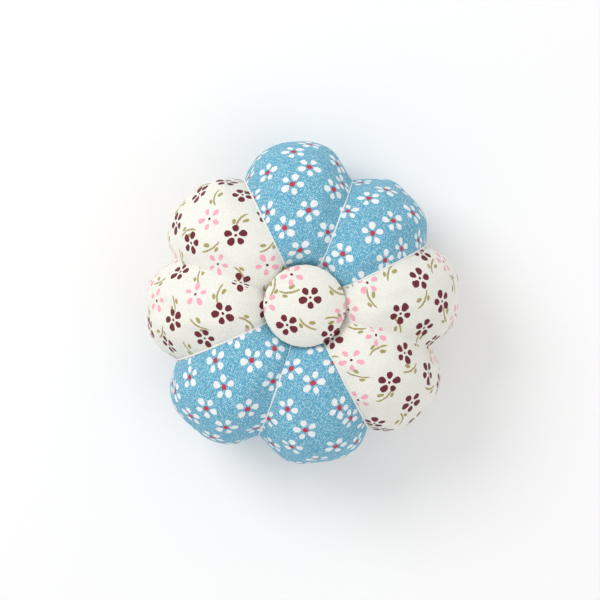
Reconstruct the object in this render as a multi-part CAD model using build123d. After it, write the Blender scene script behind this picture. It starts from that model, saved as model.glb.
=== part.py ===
"""A pumpkin pin cushion, as an assembly of its separate pieces, in millimetres.

Four gore-shaped cotton panels, two blue and two cream, are sewn into a ball and packed with fibre.
Eight loops of white cord pull the ball into eight lobes: four lie over the seams, and four cross the
middle of a panel. A cloth-covered button on top and a flat four-hole button underneath are tied to
each other through the core.

Frame: +Z is up through the covered button, and the origin is on the table below the axis. +Y points
at the first blue lobe. Bearings are degrees clockwise from +Y, seen from above.
"""

from build123d import *
import math
import os

# The ball of cloth
CREST_HEIGHT = 41.0  # of the lobes' highest points above the table
CREST_RADIUS = 19.0  # from the axis to those points
BASE_SQUASH = 1.0  # how much of each lobe's round underside is flattened by its weight
TOP_DIMPLE = 21.0  # how far the middle is pulled down below the crest
BASE_DIMPLE = 14.0  # how far the middle is pulled up above the base
TOP_DIMPLE_POWER = 2.3
BASE_DIMPLE_POWER = 1.8
LOBE_REACHES = (40.6, 38.5, 39.7, 41.2, 41.1, 42.3, 39.6, 39.8)  # axis to lobe tip, clockwise from +Y
LOBE_POWERS = (2.3, 2.3, 2.7, 2.7, 2.6, 2.6, 2.6, 2.7)  # how squarely each fills between its grooves
GROOVE_BEARINGS = (22.0, 65.0, 109.0, 152.5, 198.5, 245.5, 289.0, 334.5)  # at the end of each lobe
GROOVE_SHARES = (0.165, 0.12, 0.155, 0.13, 0.15, 0.15, 0.145, 0.155)  # depth over distance from the axis

# The cloth and its seams
CLOTH = 0.4
FILLING_GAP = 0.1  # between the cloth and the fibre
GROOVE_CLOTH_SHARE = 1.5  # cloth measured along the groove's plane, over cloth measured square
SEAM_GAP = 0.3  # between the two layers of a seam, filled by its thread
SEAM_ALLOWANCE = 4.0
SEAM_END_RADIUS = 7.0  # the allowance is trimmed away nearer the axis
SEAM_LINE = 1.6  # how deep in the seam its stitches run
PANELS = {  # name: its two lobes, counted clockwise from +Y
    "blue_front_panel": (0, 1),
    "cream_right_panel": (2, 3),
    "blue_back_panel": (4, 5),
    "cream_left_panel": (6, 7),
}

# Threads
CORE_RADIUS = 2.6  # of the hole in the cloth, at both ends of the core, that the threads share
FILLING_CORE_RADIUS = 3.4
CORD_DIAMETER = 0.6
CORD_LIFT = 0.65  # from the bottom of a groove to the middle of its cord
CORD_CORE_RADIUS = 1.4  # of the ring of eight cords in the core
CORD_TURN_RADIUS = 3.6  # where a cord leaves its groove for the core
CORD_GAP = 0.4  # between the two ends of one loop, in the core
SEAM_THREAD = 0.24
GATHER_THREAD = 0.4
GATHER_RADIUS = 3.0
GATHER_DEPTH = 1.5  # of a gathering thread behind the edge of its hole
TIE_THREAD = 0.44
KNOT_RADIUS = 0.7

# The covered button
BUTTON_RADIUS = 10.3  # over the cloth
BUTTON_DOME = 3.6
BUTTON_SKIRT = 1.9
BUTTON_CORNER = 0.5
BUTTON_RIM_HEIGHT = 37.2  # of its lower edge above the table
BUTTON_GAP = 0.05  # between the button's nested pieces
SHELL_THICKNESS = 0.4
BACK_THICKNESS = 0.8
TUCK_HEIGHT = 1.5  # how far the cloth is turned up inside the shell
SHANK_WIRE = 1.0
SHANK_WIDTH = 5.0  # between the middles of the eye's legs
SHANK_DROP = 3.8  # from the back plate to the middle of the eye's lowest wire
TIE_BEARING = 45.0  # of the plane of the tie thread; the shank's eye stands square to it

# The base button
BASE_BUTTON_RADIUS = 7.5
BASE_BUTTON_THICKNESS = 2.4
BASE_BUTTON_HEIGHT = 2.0  # of its lower edge above the table
BASE_BUTTON_DISH = 0.8
BASE_BUTTON_RIM = 1.9
BASE_BUTTON_FILLET = 0.5
HOLE_RADIUS = 0.85
HOLE_CIRCLE_RADIUS = 2.0
HOLE_COUNT = 4

FAR = 60.0  # past the outside of everything
PROFILE_STEPS = (8, 20, 8)  # points on the top dimple, the outside and the base dimple
CLEARANCE = 0.05  # between an edge turned in at a seam and the filling
SPREAD = (0.0, 0.4, 0.65, 0.85, 1.0)  # sections from the middle of a lobe to its groove
ARC_SHARE = 0.45  # how much of each run the rounding of a thread's corner may use


# ---------------------------------------------------------------- outlines of the lobes
def dimple(radius, power):
    """The share of a dimple's depth that is reached at this radius."""
    return ((CREST_RADIUS - radius) / CREST_RADIUS) ** power


def profile(reach):
    """A lobe's outline in (radius, height) from the top of the core, over the crest, to its base."""
    middle = (CREST_HEIGHT - BASE_SQUASH) / 2
    half = (CREST_HEIGHT + BASE_SQUASH) / 2
    top, outside, base = PROFILE_STEPS
    points = []
    for k in range(top):
        radius = CORE_RADIUS + (CREST_RADIUS - CORE_RADIUS) * k / top
        points.append((radius, middle + half - TOP_DIMPLE * dimple(radius, TOP_DIMPLE_POWER)))
    for k in range(outside + 1):
        angle = math.pi * (0.5 - k / outside)
        radius = CREST_RADIUS + (reach - CREST_RADIUS) * math.cos(angle)
        points.append((radius, middle + half * math.sin(angle)))
    for k in range(base - 1, -1, -1):
        radius = CORE_RADIUS + (CREST_RADIUS - CORE_RADIUS) * k / base
        points.append((radius, middle - half + BASE_DIMPLE * dimple(radius, BASE_DIMPLE_POWER)))
    return points


def inset(points, depth_at):
    """The outline moved inwards, square to itself, by depth_at(radius), but never into the core."""
    moved = []
    for k, (radius, height) in enumerate(points):
        before = points[max(k - 1, 0)]
        after = points[min(k + 1, len(points) - 1)]
        along = (after[0] - before[0], after[1] - before[1])
        length = math.hypot(*along)
        depth = depth_at(radius)
        shifted = max(radius + depth * along[1] / length, CORE_RADIUS)
        moved.append((shifted, height - depth * along[0] / length))
    return moved


def groove_outline(groove, depth):
    """The bottom of a groove, moved inwards by depth. Groove k lies between lobes k and k + 1."""
    neighbour = (groove + 1) % len(LOBE_REACHES)
    reach = (LOBE_REACHES[groove] + LOBE_REACHES[neighbour]) / 2
    return inset(profile(reach), lambda radius: GROOVE_SHARES[groove] * radius + depth)


def lobe_outline(lobe, across, depth):
    """The lobe's outline at a place across it, from -1 at the groove before it to 1 at the one after."""
    ridge = inset(profile(LOBE_REACHES[lobe]), lambda radius: depth)
    groove = lobe if across > 0 else (lobe - 1) % len(LOBE_REACHES)
    valley = groove_outline(groove, depth * GROOVE_CLOTH_SHARE)
    share = abs(across) ** LOBE_POWERS[lobe]
    blend = []
    for (ridge_radius, ridge_height), (valley_radius, valley_height) in zip(ridge, valley):
        height = ridge_height * (1 - share) + valley_height * share
        blend.append((ridge_radius * (1 - share) + valley_radius * share, height))
    return blend


def flattened(outline, floor):
    return [(radius, max(height, floor)) for radius, height in outline]


# ---------------------------------------------------------------- places
def bearings(lobe):
    """The bearings of the grooves before and after a lobe."""
    before = GROOVE_BEARINGS[lobe - 1] - (360.0 if lobe == 0 else 0.0)
    return before, GROOVE_BEARINGS[lobe]


def at(radius, height, bearing, aside=0.0):
    """A point in the upright plane of a bearing, or aside from it, clockwise."""
    angle = math.radians(bearing)
    east = radius * math.sin(angle) + aside * math.cos(angle)
    north = radius * math.cos(angle) - aside * math.sin(angle)
    return Vector(east, north, height)


def runs(points):
    """Straight lines from each point to the next."""
    return [Line(start, end) for start, end in zip(points, points[1:])]


def slab(bearing, half_width):
    """A tall upright block that straddles a bearing's plane, from the axis outwards."""
    block = Pos(0, FAR / 2, 0) * Box(2 * half_width, FAR, 4 * FAR)
    return Rot(0, 0, -bearing) * block


def above_table():
    return Pos(0, 0, FAR) * Box(2 * FAR, 2 * FAR, 2 * FAR)


# ---------------------------------------------------------------- cloth and filling
def sections(lobes):
    """(lobe, across, bearing) of each section over some lobes, in clockwise order."""
    found = []
    for lobe in lobes:
        before, after = bearings(lobe)
        steps = [-share for share in reversed(SPREAD)] + list(SPREAD[1:])
        for across in steps if lobe == lobes[0] else steps[1:]:
            found.append((lobe, across, before + (after - before) * (across + 1) / 2))
    return found


def ribbon_face(outer, inner, bearing, aside=0.0):
    """The area between two outlines in a bearing's plane."""
    outside = [at(radius, height, bearing, aside) for radius, height in outer]
    inside = [at(radius, height, bearing, aside) for radius, height in inner]
    edges = [Spline(*outside), Line(outside[-1], inside[-1]), Spline(*reversed(inside))]
    return Face(Wire(edges + [Line(inside[0], outside[0])]))


def cloth_shell(lobes):
    """The cloth over some lobes, without its seams."""
    faces = []
    for lobe, across, bearing in sections(lobes):
        inner = flattened(lobe_outline(lobe, across, CLOTH), CLOTH)
        faces.append(ribbon_face(lobe_outline(lobe, across, 0.0), inner, bearing))
    return loft(faces, ruled=True)


def seam_allowance(groove, side):
    """The edge of a panel turned in at a seam, on the clockwise side (1) or the other (-1)."""
    outer = [p for p in groove_outline(groove, CLOTH / 2) if p[0] > SEAM_END_RADIUS]
    inner = [p for p in groove_outline(groove, SEAM_ALLOWANCE) if p[0] > SEAM_END_RADIUS]
    bearing = GROOVE_BEARINGS[groove]
    far_side = side * (SEAM_GAP / 2 + CLOTH)
    near = ribbon_face(outer, inner, bearing)
    return loft([near, ribbon_face(outer, inner, bearing, far_side)])


def seams(lobes):
    """The grooves at the two ends of a panel."""
    return (lobes[0] - 1) % len(LOBE_REACHES), lobes[-1]


def panel(lobes):
    """One piece of cloth over two lobes, with its seam allowances turned in at both ends."""
    first, last = seams(lobes)
    cloth = cloth_shell(lobes) + seam_allowance(first, 1) + seam_allowance(last, -1)
    for groove in (first, last):
        cloth -= slab(GROOVE_BEARINGS[groove], SEAM_GAP / 2)
    return cloth & above_table()


def filling_pair(lobes):
    """The fibre in one panel, clear of the seam allowances at its two ends."""
    depth = CLOTH + FILLING_GAP
    faces = []
    for lobe, across, bearing in sections(lobes):
        outline = flattened(lobe_outline(lobe, across, depth), depth)
        points = [at(radius, height, bearing) for radius, height in outline]
        faces.append(Face(Wire([Spline(*points), Line(points[-1], points[0])])))
    fibre = loft(faces, ruled=True)
    for groove in seams(lobes):
        fibre -= slab(GROOVE_BEARINGS[groove], SEAM_GAP / 2 + CLOTH + CLEARANCE)
    return fibre


def filling():
    """All the fibre, as one body, with slits for the seam allowances and a hole up its core."""
    depth = SEAM_ALLOWANCE + CLEARANCE
    heart = inset(profile(min(LOBE_REACHES)), lambda radius: max(GROOVE_SHARES) * radius + depth)
    points = [Vector(radius, 0, height) for radius, height in heart]
    centre = [Vector(0, 0, heart[-1][1]), Vector(0, 0, heart[0][1])]
    outline = Wire([Spline(*points)] + runs([points[-1], *centre, points[0]]))
    fibre = revolve(Face(outline), axis=Axis.Z)
    for lobes in PANELS.values():
        fibre += filling_pair(lobes)
    return fibre - Cylinder(FILLING_CORE_RADIUS, 4 * FAR)


# ---------------------------------------------------------------- threads
def corner_radii(points):
    """The largest rounding that each corner of a route has room for."""
    radii = []
    for before, corner, after in zip(points, points[1:], points[2:]):
        first = corner - before
        second = after - corner
        half_turn = math.radians(first.get_angle(second)) / 2
        radii.append(ARC_SHARE * min(first.length, second.length) / math.tan(half_turn))
    return radii


def thread(points, diameter, radii=None):
    """A thread along straight runs joined by arcs."""
    path = FilletPolyline(*points, radius=radii or corner_radii(points))
    return sweep(Plane(origin=path @ 0, z_dir=path % 0) * Circle(diameter / 2), path=path)


def core_corner(last, before_last):
    """Where a cord, going on straight past its last two points, meets its upright run in the core."""
    slope = (last[1] - before_last[1]) / (last[0] - before_last[0])
    return CORD_CORE_RADIUS, last[1] + slope * (CORD_CORE_RADIUS - last[0])


def cord_loop(groove):
    """One loop of cord: up the core, out along a groove, round the ball and back into the core."""
    route = inset(groove_outline(groove, 0.0), lambda radius: -CORD_LIFT)
    route = [point for point in route if point[0] > CORD_TURN_RADIUS]
    top = core_corner(route[0], route[1])
    base = core_corner(route[-1], route[-2])
    middle = (top[1] + base[1]) / 2
    start = (CORD_CORE_RADIUS, middle + CORD_GAP / 2)
    end = (CORD_CORE_RADIUS, middle - CORD_GAP / 2)
    route = [start, top] + route[1:-1] + [base, end]
    bearing = GROOVE_BEARINGS[groove]
    return thread([at(radius, height, bearing) for radius, height in route], CORD_DIAMETER)


def seam_thread(groove):
    """The line of stitches that joins two panels, between their turned-in edges."""
    line = [p for p in groove_outline(groove, SEAM_LINE) if p[0] > SEAM_END_RADIUS]
    bearing = GROOVE_BEARINGS[groove]
    return thread([at(radius, height, bearing) for radius, height in line], SEAM_THREAD)


def gathering_thread(height):
    return Pos(0, 0, height) * Torus(GATHER_RADIUS, GATHER_THREAD / 2)


# ---------------------------------------------------------------- the covered button
def dome(radius, height, depth):
    """An arc from the edge of a round dome, depth lower than the button's, to its top."""
    shoulder = BUTTON_RIM_HEIGHT + BUTTON_SKIRT
    rise = height - depth
    arc_radius = (radius**2 + rise**2) / (2 * rise)
    half_angle = math.asin(radius / arc_radius) / 2
    drop = arc_radius * (1 - math.cos(half_angle))
    halfway = (arc_radius * math.sin(half_angle), 0, shoulder + rise - drop)
    return ThreePointArc((radius, 0, shoulder), halfway, (0, 0, shoulder + rise))


def turned(outer, inner, sides):
    """A ring or cap turned about the axis, between two domes joined by straight sides."""
    closing = Line(inner @ 1, outer @ 1)
    return revolve(Face(Wire([outer, inner, closing] + runs(sides))), axis=Axis.Z)


def button_cloth():
    """Cloth over the shell, turned up inside its rim."""
    outside = BUTTON_RADIUS
    inside = outside - CLOTH
    skirt_inside = inside - 2 * BUTTON_GAP - SHELL_THICKNESS
    opening = skirt_inside - CLOTH
    rim = BUTTON_RIM_HEIGHT
    shoulder = rim + BUTTON_SKIRT
    tuck = rim + CLOTH + TUCK_HEIGHT
    sides = [
        (outside, 0, shoulder),
        (outside, 0, rim + BUTTON_CORNER),
        (outside - BUTTON_CORNER, 0, rim),
        (opening, 0, rim),
        (opening, 0, tuck),
        (skirt_inside, 0, tuck),
        (skirt_inside, 0, rim + CLOTH),
        (inside, 0, rim + CLOTH),
        (inside, 0, shoulder),
    ]
    return turned(dome(outside, BUTTON_DOME, 0.0), dome(inside, BUTTON_DOME, CLOTH), sides)


def button_shell():
    """The domed metal cap."""
    depth = CLOTH + BUTTON_GAP
    outside = BUTTON_RADIUS - depth
    inside = outside - SHELL_THICKNESS
    rim = BUTTON_RIM_HEIGHT + depth
    shoulder = BUTTON_RIM_HEIGHT + BUTTON_SKIRT
    sides = [(outside, 0, shoulder), (outside, 0, rim), (inside, 0, rim), (inside, 0, shoulder)]
    inner_dome = dome(inside, BUTTON_DOME, depth + SHELL_THICKNESS)
    return turned(dome(outside, BUTTON_DOME, depth), inner_dome, sides)


def back_plate_height():
    return BUTTON_RIM_HEIGHT + CLOTH / 2


def shank_legs():
    """Where the eye's two legs stand, square to the plane of the tie thread."""
    return [at(SHANK_WIDTH / 2, 0, TIE_BEARING + side) for side in (90, -90)]


def button_back_plate():
    """The disc that is pressed into the shell and holds the cloth's edge."""
    radius = BUTTON_RADIUS - 2 * CLOTH - SHELL_THICKNESS - 3 * BUTTON_GAP
    plate = Cylinder(radius, BACK_THICKNESS)
    for leg in shank_legs():
        plate -= Pos(leg.X, leg.Y, 0) * Cylinder(SHANK_WIRE / 2, BACK_THICKNESS)
    return Pos(0, 0, back_plate_height() + BACK_THICKNESS / 2) * plate


def button_shank():
    """The wire eye that the button is tied by, its two ends in the back plate."""
    right, left = shank_legs()
    top = back_plate_height() + BACK_THICKNESS
    bend = back_plate_height() - SHANK_DROP + SHANK_WIDTH / 2
    lowest = Vector(0, 0, bend - SHANK_WIDTH / 2)
    across = Vector(0, 0, bend)
    legs = [Line(right + Vector(0, 0, top), right + across), Line(left + across, left + Vector(0, 0, top))]
    path = Wire([legs[0], ThreePointArc(right + across, lowest, left + across), legs[1]])
    return sweep(Plane(origin=path @ 0, z_dir=path % 0) * Circle(SHANK_WIRE / 2), path=path)


# ---------------------------------------------------------------- the base button and the tie
def base_button():
    """A flat button with a raised rim and a dished face, turned down, and its holes."""
    rim = BASE_BUTTON_HEIGHT
    thickness = BASE_BUTTON_THICKNESS
    body = Pos(0, 0, rim + thickness / 2) * Cylinder(BASE_BUTTON_RADIUS, thickness)
    body = fillet(body.edges().filter_by(GeomType.CIRCLE), BASE_BUTTON_FILLET)
    dish_radius = BASE_BUTTON_RADIUS - BASE_BUTTON_RIM
    wall_slope = dish_radius - BASE_BUTTON_DISH
    dish = Cone(dish_radius, wall_slope, BASE_BUTTON_DISH)
    body -= Pos(0, 0, rim + BASE_BUTTON_DISH / 2) * dish
    for k in range(HOLE_COUNT):
        place = at(HOLE_CIRCLE_RADIUS, rim + thickness / 2, TIE_BEARING + 360 * k / HOLE_COUNT)
        body -= Pos(*place) * Cylinder(HOLE_RADIUS, 2 * thickness)
    return body


def under_button_height():
    """The height of a tie thread that lies against the base button's dished face."""
    return BASE_BUTTON_HEIGHT + BASE_BUTTON_DISH - TIE_THREAD / 2 - CLEARANCE


def tie_thread():
    """A loop from the knot up through the base button, over the shank's eye and back."""
    eye = back_plate_height() - SHANK_DROP
    beside = (SHANK_WIRE + TIE_THREAD) / 2 + CLEARANCE
    above_base = BASE_BUTTON_HEIGHT + BASE_BUTTON_THICKNESS
    under = under_button_height()
    half = [
        (KNOT_RADIUS + CLEARANCE, under),
        (HOLE_CIRCLE_RADIUS, under),
        (HOLE_CIRCLE_RADIUS, above_base + TIE_THREAD),
        (beside, above_base + 4 * HOLE_CIRCLE_RADIUS),
        (beside, eye + beside),
    ]
    route = half + [(-radius, height) for radius, height in reversed(half)]
    points = [at(radius, height, TIE_BEARING) for radius, height in route]
    bends = [TIE_THREAD, HOLE_CIRCLE_RADIUS, 2 * HOLE_CIRCLE_RADIUS, ARC_SHARE * 2 * beside]
    return thread(points, TIE_THREAD, bends + bends[::-1])


def tie_knot():
    height = BASE_BUTTON_HEIGHT + BASE_BUTTON_DISH - KNOT_RADIUS - CLEARANCE
    return Pos(0, 0, height) * Sphere(KNOT_RADIUS)


# ---------------------------------------------------------------- writing the parts
def parts():
    """Every piece as (name, solid)."""
    for number, (name, lobes) in enumerate(PANELS.items()):
        yield name, panel(lobes)
        yield f"seam_thread_{number + 1}", seam_thread(seams(lobes)[1])
    yield "fibre_filling", filling()
    for groove in range(len(GROOVE_BEARINGS)):
        yield f"groove_cord_{groove + 1}", cord_loop(groove)
    outline = profile(LOBE_REACHES[0])
    yield "top_gathering_thread", gathering_thread(outline[0][1] - GATHER_DEPTH)
    yield "base_gathering_thread", gathering_thread(outline[-1][1] + GATHER_DEPTH)
    yield "button_cloth", button_cloth()
    yield "button_shell", button_shell()
    yield "button_back_plate", button_back_plate()
    yield "button_shank", button_shank()
    yield "base_button", base_button()
    yield "tie_thread", tie_thread()
    yield "tie_knot", tie_knot()


os.makedirs("parts", exist_ok=True)
for name, solid in parts():
    export_step(solid, f"parts/{name}.step")
    print(name, round(solid.volume, 1), flush=True)
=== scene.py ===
"""How a pumpkin pin cushion looks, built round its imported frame.

Lengths in the tables below are in millimetres, and everything in Blender is in metres. +Z is up
through the covered button and +Y points at the first blue lobe. Bearings are degrees clockwise from
+Y, seen from above, and lobes and grooves are counted that way.
"""

import math

import bpy
import numpy as np
from mathutils import Matrix, Vector


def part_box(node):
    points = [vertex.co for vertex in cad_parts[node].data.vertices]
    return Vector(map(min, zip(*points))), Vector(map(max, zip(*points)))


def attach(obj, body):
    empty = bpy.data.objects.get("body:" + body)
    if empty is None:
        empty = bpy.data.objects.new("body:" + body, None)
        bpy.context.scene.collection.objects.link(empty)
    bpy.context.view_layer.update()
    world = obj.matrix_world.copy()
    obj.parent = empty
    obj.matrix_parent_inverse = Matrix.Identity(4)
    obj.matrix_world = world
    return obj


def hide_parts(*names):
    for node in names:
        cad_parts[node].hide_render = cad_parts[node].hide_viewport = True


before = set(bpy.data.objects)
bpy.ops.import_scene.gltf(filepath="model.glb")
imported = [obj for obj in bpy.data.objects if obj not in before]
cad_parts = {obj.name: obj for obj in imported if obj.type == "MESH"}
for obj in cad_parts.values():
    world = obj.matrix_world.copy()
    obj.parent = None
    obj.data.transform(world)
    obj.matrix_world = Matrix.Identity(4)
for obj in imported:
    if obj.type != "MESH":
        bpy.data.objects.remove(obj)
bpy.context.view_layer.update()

MM = 0.001
BODY = "root"

# The ball of cloth
CREST_HEIGHT = 41.0
CREST_RADIUS = 19.0
TOP_DIMPLE = 21.0
BASE_DIMPLE = 14.0
TOP_DIMPLE_POWER = 2.3
BASE_DIMPLE_POWER = 1.8
BASE_SQUASH = 1.0
CORE_RADIUS = 2.6
LOBE_REACHES = (40.6, 38.5, 39.7, 41.2, 41.1, 42.3, 39.6, 39.8)
LOBE_POWERS = (2.3, 2.3, 2.7, 2.7, 2.6, 2.6, 2.6, 2.7)  # how fully each fills between its grooves
GROOVE_BEARINGS = (22.0, 65.0, 109.0, 152.5, 198.5, 245.5, 289.0, 334.5)
LOBES = len(LOBE_REACHES)
MEAN_REACH = sum(LOBE_REACHES) / LOBES
GROOVE_SHARES = (0.165, 0.12, 0.155, 0.13, 0.15, 0.15, 0.145, 0.155)  # depth over radius
START_INSET = 0.35  # how much smaller the lobes are before they are blown up
PANELS = {
    "blue_front_panel": (0, 1),
    "cream_right_panel": (2, 3),
    "blue_back_panel": (4, 5),
    "cream_left_panel": (6, 7),
}

# The mesh of the ball: columns across each lobe and rows from the top of the core to its base
COLUMNS = 16
ROWS = 88
OUTLINE_STEPS = 1500  # in the sum that finds the outline's length
CLOTH = 0.3  # thickness, which lies outside the ball's points
SEAM_TURN = 0.2  # half of the gap between the two layers of a seam, where they meet the cord
SEAM_INSIDE = 0.32  # and further in
SEAM_STEPS = (1.2, 2.6, 4.0)  # depths of the turned-in edge
SEAM_END_RADIUS = 7.0
SEAM_END_SHARE = 0.15  # of those depths, nearer the core than that
CUT_STEP = 86.0  # between the places of two neighbouring lobes on the printed cloth

# Blowing up the cloth
SIM_SCALE = 12.0  # the cloth solver is tuned for things a metre across
SIM_FRAMES = 20
SIM_PRESSURE = 4.0
SIM_GROWTH = 0.035  # how much more cloth there is than the grooves allow
MOST_MOVE = 0.7  # of any point
TABLE_GRIP = 3.0  # the height below which the table holds the cloth back
TABLE_GAP = 0.02
SMOOTHINGS = 2  # passes along each column afterwards
BUTTON_GAP = 0.1
BUTTON_CORNER = 0.5
BUTTON_STEEPNESS = 2.5  # of the cloth that swells against the side of the button

# The filling
FIBRE_DEPTH = 0.9  # under the cloth
FIBRE_SLIT = 5.0  # where a seam's edges stand in it
FIBRE_LUMPS = 0.25

# The covered button's cloth
BUTTON_SKIRT = 1.9  # height of its side
BUTTON_EDGE = ((0, 1.4), (0, 1.0), (0.1, 0.35), (0.4, 0.08), (0.9, 0), (1.25, 0.1))  # inwards and up
BUTTON_RINGS = 21  # on its dome
BUTTON_SIDES = 144
PUCKER_START = 9.0  # distance from the middle of the dome
PUCKER_FADE = 4.0
PUCKER_DEPTH = 0.06
PUCKER_PULL = 0.1  # how far the puckered cloth is drawn in
PUCKER_COUNTS = (24, 37)

# Threads
CORD_RADIUS = 0.28
CORD_SEAT = 0.32  # from the bottom of a groove to the middle of its cord
CORD_CORE_RADIUS = 1.4
CORD_ENTRY_RADIUS = 3.4  # where it leaves its groove for the core
CORD_TOP_DROP = 2.2  # and how far it then runs into the core, at the top
CORD_BASE_RISE = 1.6  # and at the base
CORD_END_GAP = 0.2
CORD_PLIES = 3
CORD_LAY = 2.4  # the length of one full twist
PLY_RELIEF = 0.12  # how deep the grooves between a thread's plies are, over its radius
TWIST_START = (0.31, 0.17, 0.93)  # a direction that no thread sets out in
TIE_RADIUS = 0.22
TIE_LAY = 1.5
TIE_BEARING = 45.0
TIE_ASIDE = 0.77  # from the axis to each half of the tie, in the core
TIE_END = 0.3  # from the axis to each of its ends
TIE_RISE = 2.6  # through the base button
TIE_MEETING = 10.0  # height above its lowest point at which its halves run side by side
HOLE_CIRCLE_RADIUS = 2.0
KNOT_SIZE = 0.22
KNOT_POINTS = 60


# ---------------------------------------------------------------- the form of the ball
def outline(reach, place):
    """Radius and height along a lobe's ridge. place runs from 0 at the top of the core, through 1 at
    the crest and 2 at the lowest ring, to 3 at the base of the core."""
    middle = (CREST_HEIGHT - BASE_SQUASH) / 2
    half = (CREST_HEIGHT + BASE_SQUASH) / 2
    top_radius = CORE_RADIUS + (CREST_RADIUS - CORE_RADIUS) * place
    base_radius = CORE_RADIUS + (CREST_RADIUS - CORE_RADIUS) * (3 - place)
    turn = math.pi * (place - 1)
    top_drop = TOP_DIMPLE * np.maximum(1 - top_radius / CREST_RADIUS, 0) ** TOP_DIMPLE_POWER
    base_rise = BASE_DIMPLE * np.maximum(1 - base_radius / CREST_RADIUS, 0) ** BASE_DIMPLE_POWER
    outside = CREST_RADIUS + (reach - CREST_RADIUS) * np.sin(turn)
    radius = np.where(place < 1, top_radius, np.where(place > 2, base_radius, outside))
    height = np.where(place < 1, middle + half - top_drop, middle + half * np.cos(turn))
    height = np.where(place > 2, middle - half + base_rise, height)
    return radius, height


def even_places(rows):
    """Places along the outline at even distances over the cloth, and those distances."""
    fine = np.linspace(0, 3, OUTLINE_STEPS)
    radius, height = outline(MEAN_REACH, fine)
    run = np.concatenate([[0], np.cumsum(np.hypot(np.diff(radius), np.diff(height)))])
    even = np.linspace(0, run[-1], rows)
    return np.interp(even, run, fine), even


PLACES, RUN = even_places(ROWS)


def softened(line, times=3):
    """A line of numbers with its kinks smoothed out and its ends kept."""
    for _ in range(times):
        line = np.concatenate([line[:1], (line[:-2] + 2 * line[1:-1] + line[2:]) / 4, line[-1:]])
    return line


def inset(radius, height, depth):
    """An outline moved inwards, square to itself."""
    along_radius = np.gradient(radius)
    along_height = np.gradient(height)
    length = np.hypot(along_radius, along_height)
    moved = radius + depth * along_height / length
    return np.maximum(moved, CORE_RADIUS), height - depth * along_radius / length


def groove_line(groove, depth=0.0):
    """Radius and height along the bottom of a groove."""
    reach = (LOBE_REACHES[groove % LOBES] + LOBE_REACHES[(groove + 1) % LOBES]) / 2
    radius, height = (softened(line) for line in outline(reach, PLACES))
    return inset(radius, height, GROOVE_SHARES[groove % LOBES] * radius + depth)


def lobe_line(lobe, across, depth=0.0):
    """Radius and height along a lobe, across of the way from its ridge (0) to a groove (-1 or 1)."""
    radius, height = (softened(line) for line in outline(LOBE_REACHES[lobe], PLACES))
    radius, height = inset(radius, height, depth)
    valley_radius, valley_height = groove_line(lobe if across > 0 else lobe - 1, depth)
    share = abs(across) ** LOBE_POWERS[lobe]
    radius = radius + (valley_radius - radius) * share
    height = height + (valley_height - height) * share
    return radius, np.maximum(height, 0.0)


def bearings(lobe):
    """The bearings of the grooves before and after a lobe."""
    before = GROOVE_BEARINGS[lobe - 1] - (360.0 if lobe == 0 else 0.0)
    return before, GROOVE_BEARINGS[lobe]


def at(radius, height, bearing, aside=0.0):
    """Points in a bearing's upright plane, or aside from it, clockwise."""
    angle = math.radians(bearing)
    east = radius * math.sin(angle) + aside * math.cos(angle)
    north = radius * math.cos(angle) - aside * math.sin(angle)
    return np.stack([east, north, height], axis=-1)


def spread():
    """Places across a lobe, closer together near its grooves."""
    even = np.linspace(-1, 1, COLUMNS + 1)
    return (even + np.sin(even * math.pi / 2)) / 2


def ball_grid():
    """The ball's points as [column, row, xyz], and whether each column is a groove."""
    columns, grooves = [], []
    for lobe in range(LOBES):
        before, after = bearings(lobe)
        for across in spread()[:-1]:
            heading = before + (after - before) * (across + 1) / 2
            radius, height = lobe_line(lobe, across, START_INSET * (1 - abs(across)))
            columns.append(at(radius, height, heading))
            grooves.append(across == -1)
    return np.array(columns), np.array(grooves)


# ---------------------------------------------------------------- meshes
def new_piece(name, points, faces, material, uvs=None):
    """A smooth mesh object from points in millimetres, with an optional uv for each point."""
    mesh = bpy.data.meshes.new(name)
    mesh.from_pydata((np.asarray(points) * MM).tolist(), [], faces)
    mesh.validate()
    if uvs is not None:
        layer = mesh.uv_layers.new(name="Cloth")
        corners = np.empty(len(mesh.loops), dtype=np.int32)
        mesh.loops.foreach_get("vertex_index", corners)
        layer.data.foreach_set("uv", np.asarray(uvs, dtype=np.float32)[corners].ravel())
    mesh.polygons.foreach_set("use_smooth", [True] * len(mesh.polygons))
    mesh.materials.append(material)
    piece = bpy.data.objects.new(name, mesh)
    bpy.context.scene.collection.objects.link(piece)
    return piece


def grid_faces(columns, rows, closed=False):
    """Quads between neighbouring columns of points, column by column."""
    last = columns if closed else columns - 1
    faces = []
    for c in range(last):
        here, there = c * rows, (c + 1) % columns * rows
        for r in range(rows - 1):
            faces.append((here + r, here + r + 1, there + r + 1, there + r))
    return faces


def thicken(piece):
    """Subdivides a sheet once and gives it the cloth's thickness."""
    smooth = piece.modifiers.new("smooth", "SUBSURF")
    smooth.levels = 1
    smooth.render_levels = 1
    solid = piece.modifiers.new("solid", "SOLIDIFY")
    solid.thickness = CLOTH * MM
    solid.offset = -1
    graph = bpy.context.evaluated_depsgraph_get()
    made = bpy.data.meshes.new_from_object(piece.evaluated_get(graph), depsgraph=graph)
    piece.modifiers.clear()
    piece.data = made


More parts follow.
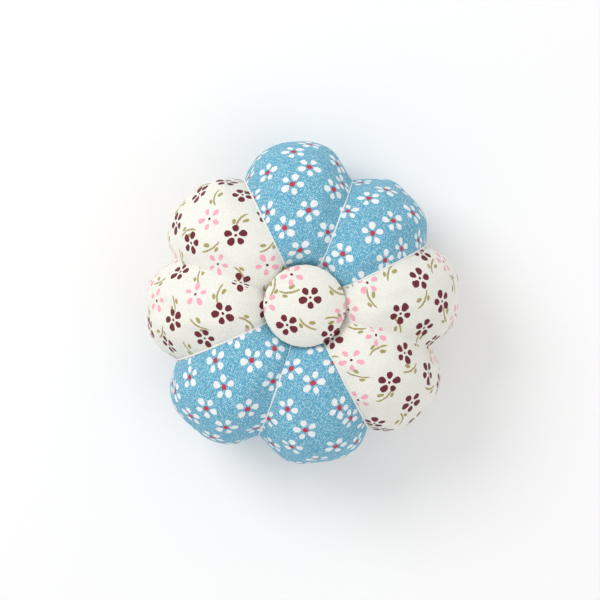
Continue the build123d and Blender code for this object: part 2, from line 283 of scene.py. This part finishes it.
# ---------------------------------------------------------------- blowing up the cloth
def blown_up(grid, grooves):
    """The ball's points after the cloth, held by its cords and gathers, is pressed out from inside."""
    columns, rows = grid.shape[:2]
    mesh = bpy.data.meshes.new("cloth_at_start")
    points = grid.reshape(-1, 3) * MM * SIM_SCALE
    mesh.from_pydata(points.tolist(), [], grid_faces(columns, rows, closed=True))
    ball = bpy.data.objects.new("cloth_at_start", mesh)
    bpy.context.scene.collection.objects.link(ball)
    held = ball.vertex_groups.new(name="held")
    for c in range(columns):
        if grooves[c]:
            held.add(list(range(c * rows, (c + 1) * rows)), 1.0, "ADD")
        else:
            held.add([c * rows, c * rows + rows - 1], 1.0, "ADD")
    cloth = ball.modifiers.new("cloth", "CLOTH")
    settings = cloth.settings
    settings.quality = 6
    settings.vertex_group_mass = "held"
    settings.mass = 0.15
    settings.tension_stiffness = 25
    settings.compression_stiffness = 25
    settings.shear_stiffness = 10
    settings.bending_stiffness = 0.4
    settings.tension_damping = 15
    settings.use_pressure = True
    settings.uniform_pressure_force = SIM_PRESSURE
    settings.shrink_min = -SIM_GROWTH
    settings.effector_weights.gravity = 0
    cloth.point_cache.frame_start = 1
    cloth.point_cache.frame_end = SIM_FRAMES
    for number in range(1, SIM_FRAMES + 1):
        bpy.context.scene.frame_set(number)
    graph = bpy.context.evaluated_depsgraph_get()
    result = ball.evaluated_get(graph).to_mesh()
    ends = np.empty(len(result.vertices) * 3)
    result.vertices.foreach_get("co", ends)
    bpy.context.scene.frame_set(1)
    bpy.data.objects.remove(ball)
    move = ends.reshape(grid.shape) / (MM * SIM_SCALE) - grid
    length = np.linalg.norm(move, axis=-1, keepdims=True)
    capped = move * (MOST_MOVE * np.tanh(length / MOST_MOVE) / np.maximum(length, 1e-6))
    return grid + capped * np.clip(grid[..., 2:] / TABLE_GRIP, 0, 1)


def smoothed(grid):
    """The ball's points with the unevenness along each column taken out."""
    columns = [[softened(line, SMOOTHINGS) for line in column.T] for column in grid]
    return np.array(columns).transpose(0, 2, 1)


def settled(grid):
    """The ball's points kept beside their grooves, under the button and out of the table."""
    kept = grid.copy()
    low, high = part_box("button_cloth")
    beside = np.hypot(kept[..., 0], kept[..., 1]) - high[0] / MM - BUTTON_GAP
    ceiling = low[2] / MM - BUTTON_GAP - CLOTH + BUTTON_STEEPNESS * np.maximum(beside + BUTTON_CORNER, 0)
    upper = kept[..., 2] > CREST_HEIGHT / 2
    kept[..., 2] = np.where(upper, np.minimum(kept[..., 2], ceiling), kept[..., 2])
    for lobe in range(LOBES):
        own = slice(lobe * COLUMNS + 1, (lobe + 1) * COLUMNS)
        for groove_bearing, side in zip(bearings(lobe), (1, -1)):
            angle = math.radians(groove_bearing)
            square = np.array([math.cos(angle), -math.sin(angle), 0]) * side
            short = np.maximum(SEAM_TURN - kept[own] @ square, 0)
            kept[own] += short[..., None] * square
    kept[..., 2] = np.maximum(kept[..., 2], CLOTH + TABLE_GAP)
    return kept


# ---------------------------------------------------------------- formulas in materials
class Field:
    """A number that varies over a surface. Arithmetic on it adds Math nodes to its tree."""

    def __init__(self, tree, socket):
        self.tree = tree
        self.socket = socket

    def do(self, operation, *others, clamp=False):
        node = self.tree.nodes.new("ShaderNodeMath")
        node.operation = operation
        node.use_clamp = clamp
        for k, value in enumerate((self,) + others):
            if isinstance(value, Field):
                self.tree.links.new(value.socket, node.inputs[k])
            else:
                node.inputs[k].default_value = value
        return Field(self.tree, node.outputs[0])

    def __add__(self, other):
        return self.do("ADD", other)

    def __sub__(self, other):
        return self.do("SUBTRACT", other)

    def __mul__(self, other):
        return self.do("MULTIPLY", other)

    def __truediv__(self, other):
        return self.do("DIVIDE", other)

    def sine(self):
        return self.do("SINE")

    def cosine(self):
        return self.do("COSINE")

    def size(self):
        return self.do("ABSOLUTE")

    def below(self, limit, softness):
        """1 where the field is below the limit and 0 where it is above, with a soft edge."""
        return ((self - limit) * (-1 / softness) + 0.5).do("ADD", 0.0, clamp=True)


def turned(x, y, angle):
    """x and y in axes turned by an angle, which may be a field."""
    if isinstance(angle, Field):
        across, along = angle.cosine(), angle.sine()
    else:
        across, along = math.cos(angle), math.sin(angle)
    return x * across + y * along, y * across - x * along


def oval(x, y, centre, half_sizes, lean=0.0):
    """Below 1 inside an ellipse."""
    dx, dy = turned(x - centre[0], y - centre[1], lean)
    dx = dx / half_sizes[0]
    dy = dy / half_sizes[1]
    return dx * dx + dy * dy


class Cloth:
    """A material for woven cloth, whose pattern is laid out in millimetres along warp and weft."""

    def __init__(self, name, colour, roughness, sheen):
        self.material = bpy.data.materials.new(name)
        self.material.use_nodes = True
        self.tree = self.material.node_tree
        self.shader = self.tree.nodes["Principled BSDF"]
        self.shader.inputs["Roughness"].default_value = roughness
        self.shader.inputs["Sheen Weight"].default_value = sheen
        self.shader.inputs["Sheen Roughness"].default_value = 0.5
        self.shader.inputs["Specular IOR Level"].default_value = 0.25
        place = self.tree.nodes.new("ShaderNodeUVMap")
        place.uv_map = "Cloth"
        self.place = place.outputs["UV"]
        self.colour = colour

    def split(self, vector):
        node = self.tree.nodes.new("ShaderNodeSeparateXYZ")
        self.tree.links.new(vector, node.inputs[0])
        return Field(self.tree, node.outputs[0]), Field(self.tree, node.outputs[1])

    def joined(self, x, y):
        node = self.tree.nodes.new("ShaderNodeCombineXYZ")
        self.tree.links.new(x.socket, node.inputs[0])
        self.tree.links.new(y.socket, node.inputs[1])
        return node.outputs[0]

    def noise(self, vector, scale, detail=2.0):
        node = self.tree.nodes.new("ShaderNodeTexNoise")
        node.noise_dimensions = "2D"
        node.inputs["Scale"].default_value = scale
        node.inputs["Detail"].default_value = detail
        self.tree.links.new(vector, node.inputs["Vector"])
        return Field(self.tree, node.outputs[0])

    def motifs(self, x, y, cell, lean, jitter, shift=0.0):
        """Where each point lies from the nearest of a scatter of motifs, turned at random, and three
        random numbers of that motif."""
        across, along = turned(x + shift, y + shift, lean)
        voronoi = self.tree.nodes.new("ShaderNodeTexVoronoi")
        voronoi.voronoi_dimensions = "2D"
        voronoi.inputs["Scale"].default_value = 1.0
        voronoi.inputs["Randomness"].default_value = jitter
        across = across / cell
        along = along / cell
        self.tree.links.new(self.joined(across, along), voronoi.inputs["Vector"])
        near_x, near_y = self.split(voronoi.outputs["Position"])
        chances = self.tree.nodes.new("ShaderNodeSeparateColor")
        self.tree.links.new(voronoi.outputs["Color"], chances.inputs[0])
        chance = [Field(self.tree, chances.outputs[k]) for k in range(3)]
        from_x, from_y = (across - near_x) * cell, (along - near_y) * cell
        from_x, from_y = turned(from_x, from_y, chance[0] * (2 * math.pi))
        return from_x, from_y, chance

    def paint(self, colour, share):
        """Lays a colour over what is there, where the field is 1."""
        node = self.tree.nodes.new("ShaderNodeMix")
        node.data_type = "RGBA"
        self.tree.links.new(share.socket, node.inputs["Factor"])
        for socket, value in ((node.inputs[6], self.colour), (node.inputs[7], colour)):
            if isinstance(value, tuple):
                socket.default_value = (*value, 1.0)
            else:
                self.tree.links.new(value, socket)
        self.colour = node.outputs[2]

    def shade(self, factor):
        """Multiplies the colour by a field."""
        node = self.tree.nodes.new("ShaderNodeVectorMath")
        node.operation = "SCALE"
        self.tree.links.new(self.colour, node.inputs[0])
        self.tree.links.new(factor.socket, node.inputs["Scale"])
        self.colour = node.outputs[0]

    def finish(self, height, depth):
        bump = self.tree.nodes.new("ShaderNodeBump")
        bump.inputs["Strength"].default_value = 0.7
        bump.inputs["Distance"].default_value = depth * MM
        self.tree.links.new(height.socket, bump.inputs["Height"])
        self.tree.links.new(bump.outputs[0], self.shader.inputs["Normal"])
        self.tree.links.new(self.colour, self.shader.inputs["Base Color"])
        return self.material


WEAVE_PITCH = 0.72  # two threads of the cloth
THREADS_ACROSS = 3.4  # changes in thickness per millimetre, across the threads
THREADS_ALONG = 0.5  # and along them
STREAKS = 0.45  # how much of the grain is thick and thin threads
SPECK_SCALE = 2.0  # per millimetre
SLUB_SCALE = 0.8
WEAVE_RELIEF = 0.10
WAVER_SCALE = 1.1
WAVER = (0.35, -0.3)
INK_EDGE = 0.12
PETAL_TAPER = 0.2  # how much wider a petal gets for each millimetre outwards
PETAL_UNEVEN = 0.2
PETAL_TURN = 2.4  # from one petal's size to the next, in radians


def wavering(cloth):
    """The pattern's place, in millimetres, wavering a little as ink does on threads."""
    x, y = cloth.split(cloth.place)
    wander = cloth.noise(cloth.place, WAVER_SCALE)
    return x + (wander - 0.5) * WAVER[0], y + (wander - 0.5) * WAVER[1]


def petals(x, y, reach, half_sizes, count=5):
    """Below 1 inside the petals of a flower."""
    step = 2 * math.pi / count
    angle = y.do("ARCTAN2", x)
    folded = angle.do("FLOORED_MODULO", step) - step / 2
    radius = (x * x + y * y).do("SQRT")
    outwards = radius * folded.cosine()
    sideways = radius * folded.sine() / ((outwards - reach) * PETAL_TAPER + 1.0)
    shrunk = ((angle / step).do("FLOOR") * PETAL_TURN).sine() * PETAL_UNEVEN + 1.0
    return oval(outwards, sideways, (reach, 0.0), half_sizes) * shrunk


def ink(field):
    """1 where ink lies, inside an outline at 1."""
    return field.below(1.0, 2 * INK_EDGE)


def weave(cloth):
    """A plain weave's relief, from -1 to 1, and its grain, from 0 to 1, with thick and thin threads."""
    x, y = cloth.split(cloth.place)
    threads = (x * (2 * math.pi / WEAVE_PITCH)).sine() * (y * (2 * math.pi / WEAVE_PITCH)).sine()
    warp = cloth.noise(cloth.joined(x * THREADS_ACROSS, y * THREADS_ALONG), 1.0)
    weft = cloth.noise(cloth.joined(x * THREADS_ALONG, y * THREADS_ACROSS), 1.0)
    specks = cloth.noise(cloth.place, SPECK_SCALE, 3.0)
    return threads, (warp + weft - 1.0) * STREAKS + specks


def woven(cloth, unevenness):
    """The threads' shading and relief over a finished print."""
    threads, grain = weave(cloth)
    cloth.shade((grain - 0.5) * (2 * unevenness) + threads * (unevenness * 0.6) + 1.0)
    slubs = cloth.noise(cloth.place, SLUB_SCALE, 2.0)
    return cloth.finish(threads * 0.5 + grain * 0.8 + slubs * 0.4, WEAVE_RELIEF)


BLUE = (0.105, 0.39, 0.565)
PALE_BLUE = (0.46, 0.70, 0.79)
WHITE_INK = (0.87, 0.89, 0.90)
RED = (0.54, 0.055, 0.09)
CREAM = (0.87, 0.86, 0.79)
MAROON = (0.165, 0.024, 0.038)
DARK_MAROON = (0.16, 0.02, 0.035)
PINK = (0.93, 0.44, 0.53)
OLIVE = (0.42, 0.365, 0.145)

# The repeats of the prints: how far apart the motifs stand, how their rows lean in radians, and how
# unevenly they are scattered
BLUE_SPACING = 8.0
BLUE_LEAN = 0.5
BLUE_JITTER = 0.32
CREAM_SPACING = 9.5
CREAM_LEAN = 0.35
SPRIG_JITTER = 0.2
FLOWER_JITTER = 0.25
MAROON_SHARE = 0.56  # of the cream cloth's flowers

# How much the threads shade each print, and how the blue dye is taken up by them
BLUE_SHADING = 0.10
CREAM_SHADING = 0.07
UNDYED = 0.2
UNDYED_GRAIN = 2.5
UNDYED_THREADS = 0.34

# Flowers: how far out the middles of their petals lie, and the petals' half sizes
DAISY = (2.0, (0.93, 0.77))
BROAD_FLOWER = (1.9, (1.0, 0.84))
SLIM_FLOWER = (2.15, (0.95, 0.62))
DAISY_EYE = (0.74, 0.70)
FLOWER_EYE = (0.36, 0.34)

# A sprig: its stem, and the centre, half sizes and lean of its leaf and bud
STEM_BOW = 0.09
STEM_DROP = 0.3
STEM_HALF_WIDTH = 0.25
STEM_HALF_LENGTH = 2.6
LEAF = ((0.7, 1.15), (0.85, 0.50), 0.5)
BUD = ((-1.2, -1.05), (0.75, 0.44), -0.4)


def blue_print():
    cloth = Cloth("blue_cloth", BLUE, roughness=0.85, sheen=0.08)
    threads, grain = weave(cloth)
    undyed = (grain - 0.5) * UNDYED_GRAIN + threads * UNDYED_THREADS + UNDYED
    cloth.paint(PALE_BLUE, undyed.do("ADD", 0.0, clamp=True))
    x, y = wavering(cloth)
    x, y, _ = cloth.motifs(x, y, BLUE_SPACING, BLUE_LEAN, BLUE_JITTER)
    cloth.paint(WHITE_INK, ink(petals(x, y, *DAISY)))
    cloth.paint(RED, ink(oval(x, y, (0.0, 0.0), DAISY_EYE)))
    return woven(cloth, BLUE_SHADING)


def sprig(x, y):
    """Below 1 inside a curved stem, its leaf and its bud."""
    stem = (y - x * x * STEM_BOW + STEM_DROP).size() / STEM_HALF_WIDTH
    stem = stem.do("MAXIMUM", x.size() / STEM_HALF_LENGTH)
    return stem.do("MINIMUM", oval(x, y, *LEAF)).do("MINIMUM", oval(x, y, *BUD))


def broad_flower(x, y):
    return petals(x, y, *BROAD_FLOWER)


def slim_flower(x, y):
    return petals(x, y, *SLIM_FLOWER)


def flower_eye(x, y):
    return oval(x, y, (0.0, 0.0), FLOWER_EYE)


def cream_print():
    cloth = Cloth("cream_cloth", CREAM, roughness=0.88, sheen=0.08)
    x, y = wavering(cloth)
    between = CREAM_SPACING / 2
    leaf_x, leaf_y, _ = cloth.motifs(x, y, CREAM_SPACING, CREAM_LEAN, SPRIG_JITTER, between)
    cloth.paint(OLIVE, ink(sprig(leaf_x, leaf_y)))
    x, y, chance = cloth.motifs(x, y, CREAM_SPACING, CREAM_LEAN, FLOWER_JITTER)
    maroon = chance[1].below(MAROON_SHARE, 0.001)
    pink = maroon * -1.0 + 1.0
    cloth.paint(MAROON, ink(broad_flower(x, y)) * maroon)
    cloth.paint(PINK, ink(slim_flower(x, y)) * pink)
    cloth.paint(DARK_MAROON, ink(flower_eye(x, y)))
    return woven(cloth, CREAM_SHADING)


# The print on the button: (east, north, turn in degrees) of each flower and sprig
BUTTON_BROAD_FLOWERS = ((1.3, 2.3, 20), (-4.5, -4.7, 5), (7.0, -7.6, 60))
BUTTON_SLIM_FLOWERS = ((-3.4, 8.3, 15), (-10.2, 1.0, 0), (10.6, -2.0, 50))
BUTTON_SPRIGS = ((-3.9, 3.8, 5), (0.6, -4.6, -35), (8.4, 3.9, -25), (7.7, -3.2, 170), (-8.2, 5.2, 80))


def scattered(x, y, form, places):
    """Below 1 inside any of the motifs that stand at some places."""
    nearest = None
    for east, north, turn in places:
        motif = form(*turned(x - east, y - north, math.radians(turn)))
        nearest = motif if nearest is None else nearest.do("MINIMUM", motif)
    return nearest


def button_print():
    cloth = Cloth("button_cloth_print", CREAM, roughness=0.88, sheen=0.08)
    x, y = wavering(cloth)
    cloth.paint(OLIVE, ink(scattered(x, y, sprig, BUTTON_SPRIGS)))
    cloth.paint(MAROON, ink(scattered(x, y, broad_flower, BUTTON_BROAD_FLOWERS)))
    cloth.paint(PINK, ink(scattered(x, y, slim_flower, BUTTON_SLIM_FLOWERS)))
    flowers = BUTTON_BROAD_FLOWERS + BUTTON_SLIM_FLOWERS
    cloth.paint(DARK_MAROON, ink(scattered(x, y, flower_eye, flowers)))
    return woven(cloth, CREAM_SHADING)


# ---------------------------------------------------------------- other materials
ROUGHNESS_SPREAD = 0.15


def plain_material(name, colour, roughness, metallic=0.0, grain=0.1, scale=900.0, relief=0.03):
    """A material whose colour and surface vary a little, from noise in the object's own space."""
    material = bpy.data.materials.new(name)
    material.use_nodes = True
    tree = material.node_tree
    shader = tree.nodes["Principled BSDF"]
    shader.inputs["Metallic"].default_value = metallic
    place = tree.nodes.new("ShaderNodeTexCoord")
    noise = tree.nodes.new("ShaderNodeTexNoise")
    noise.inputs["Scale"].default_value = scale
    noise.inputs["Detail"].default_value = 4.0
    tree.links.new(place.outputs["Object"], noise.inputs["Vector"])
    tint = tree.nodes.new("ShaderNodeMix")
    tint.data_type = "RGBA"
    tint.inputs[6].default_value = (*[c * (1 - grain) for c in colour], 1.0)
    tint.inputs[7].default_value = (*[min(c * (1 + grain), 1.0) for c in colour], 1.0)
    tree.links.new(noise.outputs[0], tint.inputs["Factor"])
    tree.links.new(tint.outputs[2], shader.inputs["Base Color"])
    rough = tree.nodes.new("ShaderNodeMapRange")
    rough.inputs["To Min"].default_value = roughness * (1 - ROUGHNESS_SPREAD)
    rough.inputs["To Max"].default_value = min(roughness * (1 + ROUGHNESS_SPREAD), 1.0)
    tree.links.new(noise.outputs[0], rough.inputs["Value"])
    tree.links.new(rough.outputs[0], shader.inputs["Roughness"])
    bump = tree.nodes.new("ShaderNodeBump")
    bump.inputs["Strength"].default_value = 0.5
    bump.inputs["Distance"].default_value = relief * MM
    tree.links.new(noise.outputs[0], bump.inputs["Height"])
    tree.links.new(bump.outputs[0], shader.inputs["Normal"])
    return material


# ---------------------------------------------------------------- pieces
def add(piece, slot, *nodes):
    """Puts a piece on the cushion's body, in place of CAD nodes. Its slot is not used."""
    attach(piece, BODY)
    if nodes:
        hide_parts(*nodes)
    return piece


def panel_uvs(columns, number):
    """Where each point of a panel lies on the printed cloth, in millimetres. Rows become arcs that
    keep their length, and the panel's middle line keeps its own."""
    points = np.array(columns)
    widths = np.linalg.norm(np.diff(points, axis=0), axis=-1)
    across = np.vstack([np.zeros(ROWS), np.cumsum(widths, axis=0)])
    across -= across[len(points) // 2]
    reach = RUN + CORE_RADIUS
    angle = across / reach
    return np.stack([reach * np.sin(angle) + CUT_STEP * number, -reach * np.cos(angle)], axis=-1)


def seam_columns(line, bearing, side):
    """The edge of a panel turned in at a seam, from its groove inwards."""
    radius = np.hypot(line[:, 0], line[:, 1])
    columns = []
    for depth in SEAM_STEPS:
        depth = np.where(radius > SEAM_END_RADIUS, depth, SEAM_END_SHARE * depth)
        in_radius, in_height = inset(radius, line[:, 2], depth)
        columns.append(at(in_radius, in_height, bearing, side * SEAM_INSIDE))
    return columns


def panel(name, lobes, grid, material):
    """One piece of cloth over two lobes, with its edges turned in at its two seams."""
    first = lobes[0] * COLUMNS
    count = len(lobes) * COLUMNS + 1
    taken = [(first + k) % len(grid) for k in range(count)]
    start = bearings(lobes[0])[0]
    end = bearings(lobes[-1])[1]
    columns = [grid[k] for k in taken]
    turned_start = seam_columns(columns[0], start, 1)
    turned_end = seam_columns(columns[-1], end, -1)
    columns[0] = columns[0] + at(0, 0, start, SEAM_TURN)
    columns[-1] = columns[-1] + at(0, 0, end, -SEAM_TURN)
    columns = turned_start[::-1] + columns + turned_end
    uvs = panel_uvs(columns, lobes[0])
    points = np.array(columns)
    faces = grid_faces(len(columns), ROWS)
    piece = new_piece(name, points.reshape(-1, 3), faces, material, uvs.reshape(-1, 2))
    thicken(piece)
    return piece


def twisted(name, route, radius, material, lay=CORD_LAY, step=0.3, sides=12):
    """A closed mesh of twisted thread along a route of points."""
    route = np.asarray(route)
    lengths = np.concatenate([[0], np.cumsum(np.linalg.norm(np.diff(route, axis=0), axis=1))])
    count = max(int(lengths[-1] / step), 8)
    stations = np.linspace(0, lengths[-1], count)
    middle = np.stack([np.interp(stations, lengths, route[:, k]) for k in range(3)], axis=-1)
    ahead = np.gradient(middle, axis=0)
    ahead /= np.linalg.norm(ahead, axis=1, keepdims=True)
    side = np.cross(ahead[0], TWIST_START)
    points = []
    angles = np.linspace(0, 2 * math.pi, sides, endpoint=False)
    for k in range(count):
        side = side - ahead[k] * (side @ ahead[k])
        side = side / np.linalg.norm(side)
        up = np.cross(ahead[k], side)
        twist = 2 * math.pi * stations[k] / lay
        plies = np.abs(np.cos(CORD_PLIES / 2 * (angles - twist)))
        girth = radius * (1 - PLY_RELIEF + PLY_RELIEF * plies)
        ring = np.outer(np.cos(angles) * girth, side) + np.outer(np.sin(angles) * girth, up)
        points.append(middle[k] + ring)
    faces = []
    for k in range(count - 1):
        for s in range(sides):
            a, b = k * sides + s, k * sides + (s + 1) % sides
            faces.append((a, b, b + sides, a + sides))
    faces.append(tuple(range(sides))[::-1])
    faces.append(tuple(range((count - 1) * sides, count * sides)))
    return new_piece(name, np.concatenate(points), faces, material)


def cord_route(line, bearing):
    """A cord's loop: up the core, out along its groove and round, and back into the core."""
    radius, height = np.hypot(line[:, 0], line[:, 1]), line[:, 2]
    radius, height = inset(radius, height, -CORD_SEAT)
    keep = radius > CORD_ENTRY_RADIUS
    out = at(radius[keep], height[keep], bearing)
    top = at(CORD_CORE_RADIUS, out[0][2] - CORD_TOP_DROP, bearing)
    base = at(CORD_CORE_RADIUS, out[-1][2] + CORD_BASE_RISE, bearing)
    middle = (top + base) / 2
    gap = np.array([0, 0, CORD_END_GAP])
    return np.vstack([middle + gap, top - gap, top, out, base, base + gap, middle - gap])


def rounded(route, times=3):
    """A route whose corners are cut again and again, towards a smooth curve."""
    points = np.asarray(route, dtype=float)
    for _ in range(times):
        near = points[:-1] * 0.75 + points[1:] * 0.25
        far = points[:-1] * 0.25 + points[1:] * 0.75
        between = np.stack([near, far], axis=1).reshape(-1, 3)
        points = np.vstack([points[:1], between, points[-1:]])
    return points


def tie_route():
    """The tie: from its knot out to a hole of the base button, up, over the shank's eye and back."""
    low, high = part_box("tie_thread")
    bottom, top = low[2] / MM + TIE_RADIUS, high[2] / MM - TIE_RADIUS
    half = [(TIE_END, bottom), (HOLE_CIRCLE_RADIUS, bottom), (HOLE_CIRCLE_RADIUS, bottom + TIE_RISE)]
    half += [(TIE_ASIDE, bottom + TIE_MEETING), (TIE_ASIDE, top)]
    route = half + [(-radius, height) for radius, height in reversed(half)]
    return rounded([at(radius, height, TIE_BEARING) for radius, height in route])


def knot_route():
    """An overhand knot pulled tight."""
    low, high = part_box("tie_knot")
    centre = (np.array(low) + np.array(high)) / 2 / MM
    turn = np.linspace(0, 2 * math.pi, KNOT_POINTS)
    across = np.sin(turn) + 2 * np.sin(2 * turn)
    along = np.cos(turn) - 2 * np.cos(2 * turn)
    knot = np.stack([across, along, -np.sin(3 * turn)], axis=-1) * KNOT_SIZE
    return knot + centre


def filling(grid, grooves, material):
    """The packed fibre, lumpy, and slit where a seam's edges stand in it."""
    columns = []
    for c in range(len(grid)):
        before, after = grid[c - 1], grid[(c + 1) % len(grid)]
        along = np.gradient(grid[c], axis=0)
        normal = np.cross(along, after - before)
        normal /= np.maximum(np.linalg.norm(normal, axis=1, keepdims=True), 1e-9)
        if (normal[ROWS // 2] @ grid[c][ROWS // 2]) < 0:
            normal = -normal
        depth = FIBRE_DEPTH + FIBRE_LUMPS * np.sin(RUN * 1.3 + c * 1.7) * np.sin(c * 0.9 + RUN * 0.37)
        if grooves[c]:
            slit = np.hypot(grid[c][:, 0], grid[c][:, 1]) > SEAM_END_RADIUS
            depth = np.where(slit, FIBRE_SLIT, FIBRE_DEPTH)
        columns.append(grid[c] - normal * depth[:, None])
    points = np.array(columns)
    count = len(points)
    faces = grid_faces(count, ROWS, closed=True)
    for c in range(count):
        there = (c + 1) % count
        faces.append((c * ROWS, there * ROWS, there * ROWS + ROWS - 1, c * ROWS + ROWS - 1))
    return new_piece("filling_fibre", points.reshape(-1, 3), faces, material)


def button_cover(material):
    """The button's cloth: a dome with small puckers where it is drawn in under the rim."""
    low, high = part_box("button_cloth")
    radius = (high[0] - low[0]) / 2 / MM
    rim, top = low[2] / MM, high[2] / MM
    shoulder = rim + BUTTON_SKIRT
    rise = top - shoulder
    arc = (radius**2 + rise**2) / (2 * rise)
    outer = []
    reach = math.asin(radius / arc)
    for k in range(BUTTON_RINGS + 1):
        angle = reach * k / BUTTON_RINGS
        outer.append((arc * math.sin(angle), top - arc * (1 - math.cos(angle))))
    outer += [(radius - inwards, rim + up) for inwards, up in BUTTON_EDGE]
    outer = np.array(outer)
    run = np.concatenate([[0], np.cumsum(np.linalg.norm(np.diff(outer, axis=0), axis=1))])
    points, uvs = [(0, 0, top)], [(0, 0)]
    for c in range(BUTTON_SIDES):
        angle = 2 * math.pi * c / BUTTON_SIDES
        wave = math.sin(PUCKER_COUNTS[0] * angle) + 0.6 * math.sin(PUCKER_COUNTS[1] * angle + 1.3)
        for k in range(1, len(outer)):
            share = np.clip((run[k] - PUCKER_START) / PUCKER_FADE, 0, 1)
            r = outer[k][0] + PUCKER_DEPTH * share * wave - PUCKER_PULL * share
            points.append((r * math.sin(angle), r * math.cos(angle), outer[k][1]))
            uvs.append((run[k] * math.sin(angle), run[k] * math.cos(angle)))
    rings = len(outer) - 1
    faces = []
    for c in range(BUTTON_SIDES):
        here, there = 1 + c * rings, 1 + (c + 1) % BUTTON_SIDES * rings
        faces.append((0, there, here))
        for k in range(rings - 1):
            faces.append((here + k, there + k, there + k + 1, here + k + 1))
    piece = new_piece("button_cover", points, faces, material, uvs)
    thicken(piece)
    return piece


# ---------------------------------------------------------------- stage, lights and camera
LIGHT_AIM = (0, 0, 0.02)
SKY_STRENGTH = 0.71
FLOOR_SIZE = 3.0
FLOOR_DROP = 0.0002  # below the cushion, so that the two don't share a plane


def area_light(name, place, size, power):
    lamp = bpy.data.lights.new(name, "AREA")
    lamp.shape = "DISK"
    lamp.size = size
    lamp.energy = power
    light = bpy.data.objects.new(name, lamp)
    light.location = place
    direction = light.location - Vector(LIGHT_AIM)
    light.rotation_euler = direction.to_track_quat("Z", "Y").to_euler()
    bpy.context.scene.collection.objects.link(light)


def stage():
    bpy.ops.mesh.primitive_plane_add(size=FLOOR_SIZE, location=(0, 0, -FLOOR_DROP))
    floor = bpy.context.object
    floor.name = "floor"
    floor.data.materials.append(plain_material("floor_white", (0.97, 0.97, 0.97), 0.9, grain=0.01))
    world = bpy.data.worlds.new("studio")
    world.use_nodes = True
    sky = world.node_tree.nodes["Background"]
    sky.inputs["Color"].default_value = (1, 1, 1, 1)
    sky.inputs["Strength"].default_value = SKY_STRENGTH
    bpy.context.scene.world = world
    area_light("key", place=(-0.5, 0.42, 0.66), size=0.5, power=3.2)
    area_light("fill", place=(0.5, -0.3, 0.8), size=0.8, power=1.0)
    bpy.context.scene.view_settings.view_transform = "Standard"


CAMERA_DISTANCE = 0.70
FRAME_WIDTH = 152.6  # of the cushion's widest level, in millimetres
CAMERA_LEAN = (-1.5, 3.0)  # degrees from straight above, to the east and to the north
CAMERA_AIM = (-0.64, 0.5, 20.0)


def camera():
    lens = bpy.data.cameras.new("camera")
    lens.sensor_width = 36.0
    lens.lens = lens.sensor_width * CAMERA_DISTANCE / (FRAME_WIDTH * MM)
    eye = bpy.data.objects.new("camera", lens)
    east, north = (math.radians(angle) for angle in CAMERA_LEAN)
    aim = np.array(CAMERA_AIM) * MM
    place = aim + CAMERA_DISTANCE * np.array([math.sin(east), math.sin(north), math.cos(north)])
    back = (place - aim) / CAMERA_DISTANCE
    right = np.cross((0, 1, 0), back)
    right /= np.linalg.norm(right)
    axes = np.column_stack([right, np.cross(back, right), back])
    eye.matrix_world = Matrix(axes.tolist()).to_4x4()
    eye.location = place
    bpy.context.scene.collection.objects.link(eye)
    bpy.context.scene.camera = eye


# ---------------------------------------------------------------- putting it together
camera()
stage()

prints = {"blue": blue_print(), "cream": cream_print()}
cord_white = plain_material("cord_white", (0.86, 0.86, 0.84), 0.8, grain=0.06, scale=4000.0)
fibre_white = plain_material("fibre_white", (0.85, 0.85, 0.83), 0.95, grain=0.1, scale=1500.0, relief=0.3)
metal = plain_material("button_metal", (0.72, 0.73, 0.74), 0.35, metallic=1.0, grain=0.04, scale=700.0)
plastic = plain_material("button_plastic", (0.82, 0.79, 0.72), 0.35, grain=0.05, scale=250.0)

grid, grooves = ball_grid()
grid = smoothed(blown_up(grid, grooves))
grid = settled(grid)

for name, lobes in PANELS.items():
    colour = name.split("_")[0]
    piece = panel(name.replace("panel", "cloth"), lobes, grid, prints[colour])
    add(piece, f"{colour}_print", name)

fibre = add(filling(grid, grooves, fibre_white), "white_fibre", "fibre_filling")

for groove in range(LOBES):
    line = grid[(groove + 1) % LOBES * COLUMNS]
    route = cord_route(line, GROOVE_BEARINGS[groove])
    cord = twisted(f"cord_{groove + 1}", route, CORD_RADIUS, cord_white)
    add(cord, "white_cord", f"groove_cord_{groove + 1}")

tie = twisted("tie", tie_route(), TIE_RADIUS, cord_white, TIE_LAY, step=0.2, sides=10)
add(tie, "white_thread", "tie_thread")
knot = twisted("knot", knot_route(), TIE_RADIUS, cord_white, TIE_LAY, step=0.1, sides=10)
add(knot, "white_thread", "tie_knot")

cover = add(button_cover(button_print()), "cream_print", "button_cloth")

coats = {"gathering_thread": cord_white, "seam_thread": cord_white, "base_button": plastic}
coats.update({"button_shell": metal, "button_back_plate": metal, "button_shank": metal})
for name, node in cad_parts.items():
    for kind, material in coats.items():
        if kind in name:
            node.data.materials.clear()
            node.data.materials.append(material)
